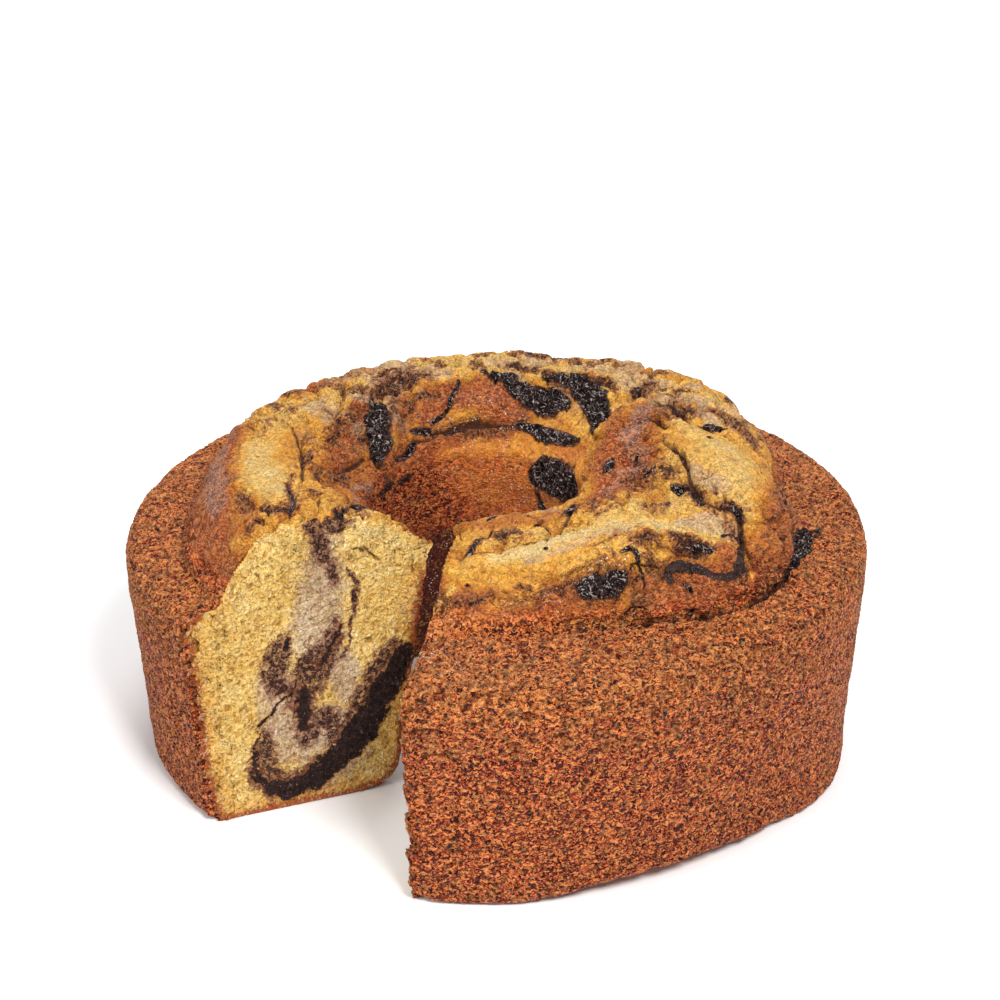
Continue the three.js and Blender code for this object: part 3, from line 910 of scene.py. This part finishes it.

# chocolate batter: wrinkled, painted darker along its wrinkles as shade, with pale streaks painted as
# glints, and lighter where it is thin
dark = span(edge, 0.42, 0.6)
wrinkle = ridges(place, 2.4, 2)
streak_glint = times(span(ridges(place, 2.6, 1), 0.17, 0.05), span(crumby, 0.47, 0.55))
batter = coated(
    shades(wrinkle, (0.1, 18, 9, 8), (0.6, 56, 34, 30), (1.0, 112, 76, 66)),
    (streak_glint, 226, 210, 204),
    (span(edge, 1.0, 0.6, 0, 0.8), 96, 56, 42),
    (span(read("curl"), 0.5, 0.8, 0, 0.9), 86, 64, 59))
colour = blend(dark, colour, batter)
# painted glints: white specks where the crust catches the light
glint = times(span(cells(place, 1.0), 0.30, 0.18), span(grain(place, 3, 2), 0.46, 0.58))
colour = coated(colour, (times(glint, read("sugar")), 255, 244, 230))
relief = sums("MULTIPLY_ADD", sums("MINIMUM", micro, 0.56), 3.6, sums("ADD", fine, crumby))
relief = sums("MULTIPLY_ADD", sums("MINIMUM", worm, 0.4), 0.8, relief)
relief = sums("MULTIPLY", relief, sums("MULTIPLY_ADD", rough, 0.55, 0.4))
relief = sums("MULTIPLY_ADD", times(dark, wrinkle), 1.8, relief)
surface(colour, sums("MULTIPLY_ADD", dark, -0.38, 0.6), 0.3, bump(relief, 1.5))

# ---- Cut faces ----------------------------------------------------------------------
# The knife opened the sponge: yellow crumb with small holes, golden towards the crust, and
# chocolate batter folded through it in a loop. Each face is taken off the body as a piece.


def take_off(name, chosen):
    """Separates the chosen faces of the body as a piece of their own."""
    data = body.data
    bpy.context.tool_settings.mesh_select_mode = (False, False, True)
    for items in (data.vertices, data.edges):
        items.foreach_set("select", np.zeros(len(items), bool))
    data.polygons.foreach_set("select", chosen)
    only(body)
    bpy.ops.object.mode_set(mode="EDIT")
    bpy.ops.mesh.separate(type="SELECTED")
    bpy.ops.object.mode_set(mode="OBJECT")
    piece = next(thing for thing in bpy.context.selected_objects if thing != body)
    piece.name = name
    return piece


def dressed(piece, material):
    """Gives a piece its material and its place in the cake."""
    piece.data.materials.clear()
    piece.data.materials.append(material)
    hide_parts("cake")
    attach(piece, "root")


def cut_faces(side):
    """The body's faces that lie wholly on one cut: 1 is the left and 2 the right."""
    sides = rows_of(body.data.attributes["cut"].data, "value", 1)[:, 0]
    corners = rows_of(body.data.loops, "vertex_index", 1, np.int32).reshape(-1, 4)
    return np.all(sides[corners] == side, axis=1)


def border_of(thing):
    """The points on an open edge."""
    sides = rows_of(thing.data.loops, "edge_index", 1, np.int32)
    uses = np.bincount(sides[:, 0], minlength=len(thing.data.edges))
    return np.unique(rows_of(thing.data.edges, "vertices", 2, np.int32)[uses == 1])


def distance_to(points, places):
    """How far each point is from the nearest of some places."""
    near = nearby(places)
    return np.array([near.find(point)[2] for point in points.tolist()])


crumb = finish("cake_crumb")
place = add("TexCoord").outputs["Object"]
fine = grain(place, 0.7, 4, 0.6, 0.7)
crumby = grain(place, 1.3, 3, 0.8, 0.6)
micro = grain(place, 1.5, 2, 1.4, 0.5)
patchy = grain(place, 5, 4, 0.3)
broad = grain(place, 16, 2)
base = sway(sway(0.5, patchy, 0.5), broad, 0.7)
base = sway(sway(base, fine, 1.0), crumby, 0.9)
colour = shades(base, (0.15, 180, 128, 56), (0.4, 234, 190, 100), (0.6, 244, 206, 122),
                (0.85, 255, 240, 188))
mixed = span(sway(read("mixed"), patchy, 0.9), 0.25, 1.1)
beige = shades(base, (0.2, 150, 114, 90), (0.55, 206, 176, 142), (0.85, 240, 220, 192))
colour = blend(mixed, colour, beige)
gap = sway(read("crust_gap"), patchy, 4.0)
spot = grain(place, 1.5, 4, 0.9, 0.7)
speckled = read("speckled")
spots = sway(speckled, spot, 2.8)
warm = times(span(spots, 0.42, 0.76), span(speckled, 0.05, 0.3), 0.85)
darker = times(span(spots, 0.84, 1.08), span(speckled, 0.1, 0.4))
edge = sway(sway(sway(read("cocoa"), patchy, 0.8), spot, 1.6), micro, 0.8)
colour = coated(
    colour,
    (span(gap, 8.0, 1.0, 0, 0.65), 232, 162, 70),
    (span(sway(gap, crumby, 3.0), 2.8, 0.8), 168, 80, 40),
    # painted highlight on the crumb's small crests, and painted shade in its small hollows, holes and slits
    (span(micro, 0.55, 0.63, 0, 0.4), 255, 244, 196),
    (span(micro, 0.44, 0.37, 0, 0.45), 176, 118, 44),
    (times(span(crumby, 0.39, 0.32), 0.75), 122, 76, 30),
    (span(read("pore"), 0.1, 0.5, 0, 0.6), 162, 108, 46),
    (warm, 140, 92, 74),
    (darker, 46, 25, 23),
    (span(edge, 0.15, 0.5, 0, 0.7), 142, 80, 46))
batter = shades(spot, (0.35, 20, 11, 11), (0.55, 48, 31, 29), (0.66, 84, 58, 50), (0.76, 160, 130, 116))
colour = blend(span(edge, 0.5, 0.66), colour, batter)
relief = sums("MULTIPLY_ADD", crumby, 1.4, sums("MULTIPLY_ADD", micro, 1.2, fine))
surface(colour, 0.8, 0.2, bump(relief, 0.8))

# Runs on a cut face go through knots of distance out from the knife's tip, height and
# half-width. Each has its softness before it.
LEFT_FACE = {
    "cocoa": [
        (1.6, (23, 48, 3), (27, 41, 4.2), (32, 32, 4.8), (38, 23, 5.2), (46, 15, 4.8), (55, 9, 4.2),
         (64, 5.5, 3.2)),
        (1.6, (57.5, 29, 2.4), (57.5, 35, 3), (57, 41, 2)),
        (1.6, (50, 50, 1.6), (47, 55, 1.4), (45, 61, .8)),
        (0.8, (71, 31, .8), (66, 36, .6), (62, 40, .6), (60, 44, .5)),
        (0.7, (62, 61, .5), (62, 57, 1.1)),
        (1.6, (73, 28, .8), (74, 20, 1), (72, 13, 1.8), (68, 8, 2.4)),
    ],
    "speckled": [
        (3.0, (27, 50, 4), (33, 43, 4.4), (37, 35, 4), (43, 26, 3)),
        (3.0, (70, 28, 3), (71, 20, 5), (70, 12, 6), (64, 8, 5), (54, 13, 4)),
        (3.0, (57, 30, 5), (57, 40, 6), (53, 48, 7), (48, 55, 5), (45, 63, 2.5)),
        (3.0, (62, 60, 2.4), (65, 54, 5), (66, 46, 4.6), (62, 40, 3)),
        (3.5, (56, 25, 5), (50, 30, 4.5), (47, 22, 4)),
        (2.0, (53, 97, 3), (51, 92, 4), (48, 86, 3), (46, 77, 2)),
        (2.0, (50, 98, 3.4), (44, 96, 2.6), (38, 97, 1.2)),
        (0.8, (41.5, 81, .6), (40.5, 79, .7), (38.5, 75, 1.4), (38.5, 71, 1.3), (40, 64.5, 1), (41, 58, .8),
         (43, 50, 1)),
    ],
    "mixed": [
        (6, (48, 92, 5), (50, 80, 8), (51, 68, 9), (52, 58, 9)),
        (3, (44, 47, 6), (43, 38, 5)),
        (5, (66, 44, 7), (60, 24, 9), (48, 26, 9)),
        (3, (36, 14, 2.4), (52, 3, 2.4)),
    ],
    "slit": [
        (0.5, (38, 87, .3), (34.5, 86, .8), (31, 81, .3)),
        (0.6, (34.5, 53, 1.4)),
    ],
}
RIGHT_FACE = {
    "cocoa": [
        (1.8, (16, 30, 3), (24, 21, 4.6), (36, 13, 4.8), (50, 10, 4.4), (62, 14, 4), (70, 24, 3)),
        (1.6, (52, 27, 2), (50, 35, 2.8), (46, 42, 2)),
        (0.8, (68, 36, .7), (62, 42, .9), (54, 46, .7)),
    ],
    "speckled": [
        (3.0, (70, 22, 4), (72, 34, 4), (66, 42, 4)),
        (3.0, (54, 24, 4), (50, 38, 6), (44, 48, 5), (42, 58, 2)),
        (1.6, (38, 84, 1.2), (36, 74, 1.5), (38, 64, 1)),
        (2.0, (44, 86, 1.4), (34, 89, 2.2), (26, 88, 1.4)),
        (2.4, (58, 56, 2), (62, 62, 1.2)),
    ],
    "mixed": [
        (6, (36, 84, 3), (38, 70, 6), (42, 58, 5)),
        (4, (58, 32, 5), (60, 22, 5), (48, 20, 4)),
        (3, (36, 34, 4), (34, 26, 3)),
    ],
    "slit": [
        (0.5, (60, 70, .3), (56, 73, .7), (52, 72, .3)),
    ],
}
CROWN_CRUST = 4.5             # mm by which the crust is thinner under the crown
THICK_BELOW, THICK_WITHIN = 74, 12       # mm of height, and out from the tip, where it is thick
HOLES = (1500, 0.4, 1.2, 0.45, 21)       # how many, least and most radius, depth for it, seed
cuts = [("left_crumb", 1, left_way, LEFT_FACE), ("right_crumb", 2, right_way, RIGHT_FACE)]
for name, side, way, marbling in cuts:
    piece = take_off(name, cut_faces(side))
    edited(piece, bpy.ops.mesh.subdivide, number_cuts=1)
    face = points_of(piece)
    border = face[border_of(piece)]
    gap = distance_to(face, border)
    crusty = border[(border[:, 2] < THICK_BELOW) | (along_cut(border, way) < THICK_WITHIN)]
    crust_gap = np.minimum(distance_to(face, crusty), gap + CROWN_CRUST)
    lean = 1.6 * drift(face, 5, 3, 3.1, 17.7) + 0.6 * drift(face, 1.8, 2, 7.3, 29.1)
    laid_out = np.stack([along_cut(face, way), face[:, 2]], 1) + lean
    marks = {}
    for layer, runs in marbling.items():
        marks[layer] = np.max([brush(laid_out, soft, through(knots)) for soft, *knots in runs], axis=0)
    inner = np.flatnonzero(gap > 1.2)
    deep = pits(face + 0.8 * lean[:, :1], inner, *HOLES)[0]
    ragged = np.maximum(0, 0.12 - np.abs(cloud(face, 2.4, 2, 33.0))) * 5
    torn = cloud(face, 1.3, 2, 2.0) * 0.22 + cloud(face, 6, 2, 8.0) * 0.5
    lift = torn * ease(gap / 1.5) - deep - ragged * ease(gap) - 1.6 * marks["slit"]
    face += normals_of(piece) * lift[:, None]
    move_points(piece, face)
    keep(piece, "crust_gap", crust_gap)
    # holes and slits are kept for the painted shade in them
    keep(piece, "pore", np.maximum(deep, 0.8 * marks["slit"]))
    for layer in ("cocoa", "speckled", "mixed"):
        keep(piece, layer, marks[layer])
    dressed(piece, crumb)

# ---- Crust pieces -------------------------------------------------------------------
# The rest of the skin is one baked crust. It is taken apart where its kind changes: the
# underside, the wall of the tube, the crown's two halves, the shoulder and the outer wall.

CROWN_LOW, CROWN_EDGE = 77, 108          # mm of height, and of radius
CROWN_SPLIT = 8               # mm behind the middle
TUBE_TOP, TUBE_EDGE = 80, 80             # mm of height, and of radius
SHOULDER_LOW = 70             # mm of height
WALL_SPLIT, WALL_SLANT = 20, 0.4         # mm behind the middle, and more for each mm to the right


def region(name):
    """Which of the body's faces belong to a piece, by place, facing and radius."""
    x, y, z = rows_of(body.data.polygons, "center").T.astype(float) / MM
    up = rows_of(body.data.polygons, "normal")[:, 2].astype(float)
    radius = np.hypot(x, y)
    crown = (z > CROWN_LOW) & (radius < CROWN_EDGE)
    return {
        "underside": (z < 1) & (up < -0.7),
        "tube_wall": (z < TUBE_TOP) & (radius < TUBE_EDGE),
        "crown_back": crown & (y > CROWN_SPLIT),
        "crown_front": crown,
        "shoulder": z > SHOULDER_LOW,
        "wall_back": y > x * WALL_SLANT + WALL_SPLIT,
    }[name]


# each piece is taken off what the ones before it left
for name in ("underside", "tube_wall"):
    dressed(take_off(name, region(name)), crust)
for name in ("crown_back", "crown_front"):
    dressed(take_off(name, region(name)), crust)
for name in ("shoulder", "wall_back"):
    dressed(take_off(name, region(name)), crust)
body.name = "wall_front"
dressed(body, crust)

# ---- Floor, light and camera --------------------------------------------------------
# A pale table, four soft studio lights in front, on the left, above and behind, and a camera
# that looks down on the cut side.

bpy.ops.object.select_all(action="DESELECT")
bpy.ops.mesh.primitive_plane_add(size=30)
floor = bpy.context.object
floor.name = "floor"
floor.data.materials.append(finish("pale_table"))
surface((0.95, 0.95, 0.95, 1), 0.9, 0.1)

scene = bpy.context.scene
scene.view_settings.view_transform = "Standard"
world = bpy.data.worlds.new("studio")
scene.world = world
world.use_nodes = True
world.node_tree.nodes["Background"].inputs["Color"].default_value = (1, 1, 1, 1)
world.node_tree.nodes["Background"].inputs["Strength"].default_value = 0.42


def soft_box(name, place, size, watts):
    """A square studio light that faces the middle of the cake."""
    lamp = bpy.data.lights.new(name, "AREA")
    lamp.size = size
    lamp.energy = watts
    box = bpy.data.objects.new(name, lamp)
    box.location = place
    box.rotation_euler = (Vector((0, 0, 0.05)) - Vector(place)).to_track_quat("-Z", "Y").to_euler()
    bpy.context.collection.objects.link(box)


soft_box("key", (0.4, -1.0, 1.15), 0.4, 23)
soft_box("fill", (-1.0, -0.8, 0.7), 0.8, 7.5)
soft_box("top", (0.0, 0.1, 1.3), 0.4, 4)
soft_box("back", (0.1, 1.0, 1.0), 0.6, 5)

CAMERA_PLACE = Vector((0, -0.8355, 0.4727))
CAMERA_AIM = Vector((0.0015, 0, 0.0813))
CAMERA_ROLL = math.radians(-0.525)
SENSOR = 36
LENS = 102.7
camera = bpy.data.cameras.new("camera")
camera.sensor_width = SENSOR
camera.lens = LENS
viewer = bpy.data.objects.new("camera", camera)
viewer.location = CAMERA_PLACE
looking = (CAMERA_AIM - CAMERA_PLACE).to_track_quat("-Z", "Y") @ Quaternion((0, 0, 1), CAMERA_ROLL)
viewer.rotation_euler = looking.to_euler()
bpy.context.collection.objects.link(viewer)
scene.camera = viewer
